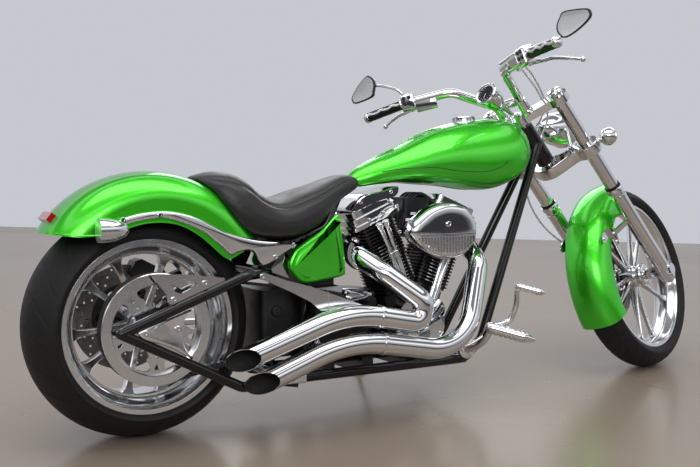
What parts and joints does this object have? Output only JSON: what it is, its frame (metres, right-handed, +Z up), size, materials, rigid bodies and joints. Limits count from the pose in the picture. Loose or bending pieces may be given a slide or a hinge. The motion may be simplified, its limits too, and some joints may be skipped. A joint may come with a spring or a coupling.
{
  "type": "chopper motorcycle",
  "caption": "Long raked-fork chopper motorcycle with an open finned V-twin, belt drive and wide rear tyre, on its side stand.",
  "frame": {"origin": "middle of the footprint box, on the ground", "axes": "+X is the way it rides, +Y its left side, +Z up; the bike leans to +Y on its side stand"},
  "size_m": [2.6374, 0.9288, 1.3225],
  "materials": {
    "paint": "gloss candy",
    "frame_black": "gloss",
    "black_metal": "satin",
    "chrome": "mirror",
    "polished_alloy": "polished",
    "disc_steel": "ground",
    "tyre_rubber": "matte",
    "belt_rubber": "matte",
    "grip_rubber": "satin",
    "seat_leather": "semi-gloss"
  },
  "bodies": {
    "root": {"air_cleaner": "chrome", "battery_box": "black_metal", "belt": "belt_rubber", "belt_guards": "chrome", "crankcase": "black_metal", "cylinders": "black_metal", "exhaust_front": "chrome", "exhaust_rear": "chrome", "fender_struts": "chrome", "foot_controls": "chrome", "frame": "frame_black", "fuel_cap": "chrome", "fuel_tank": "paint", "gearbox": "black_metal", "primary_cover": "chrome", "pushrods": "chrome", "rear_axle": "chrome", "rear_caliper": "black_metal", "rear_fender": "paint", "rear_lamps": "chrome", "rocker_boxes": "chrome", "seat": "seat_leather", "side_covers": "paint", "swingarm": "frame_black"},
    "steering": {"fork_legs": "chrome", "front_caliper": "black_metal", "front_fender": "paint", "front_signals": "chrome", "grips": "grip_rubber", "hand_controls": "chrome", "handlebar": "chrome", "headlight": "chrome", "lower_clamp": "chrome", "mirrors": "chrome", "speedometer": "chrome", "upper_clamp": "chrome"},
    "front_wheel": {"front_disc": "disc_steel", "front_rim": "polished_alloy", "front_tyre": "tyre_rubber"},
    "rear_wheel": {"rear_disc": "disc_steel", "rear_pulley": "polished_alloy", "rear_rim": "polished_alloy", "rear_tyre": "tyre_rubber"},
    "side_stand": {"side_stand": "chrome"}
  },
  "joints": [
    {"name": "steering_turn", "type": "hinge", "parent": "root", "child": "steering", "pos_m": [0.53435, 0.00412, 0.77962], "axis": [-0.6397, 0.0534, 0.7668], "range_deg": [-46, 0]},
    {"name": "front_wheel_spin", "type": "hinge", "parent": "steering", "child": "front_wheel", "pos_m": [0.98532, -0.0012, 0.33198], "axis": [-0.3006, 0.9007, -0.3135], "continuous": true},
    {"name": "rear_wheel_spin", "type": "hinge", "parent": "root", "child": "rear_wheel", "pos_m": [-0.9907, -0.02795, 0.3272], "axis": [-0.0003, 0.9976, -0.0698], "continuous": true},
    {"name": "side_stand_fold", "type": "hinge", "parent": "root", "child": "side_stand", "pos_m": [-0.10751, 0.11855, 0.12491], "axis": [0.0687, 0.6296, 0.7739], "range_deg": [0, 95.28]}
  ]
}
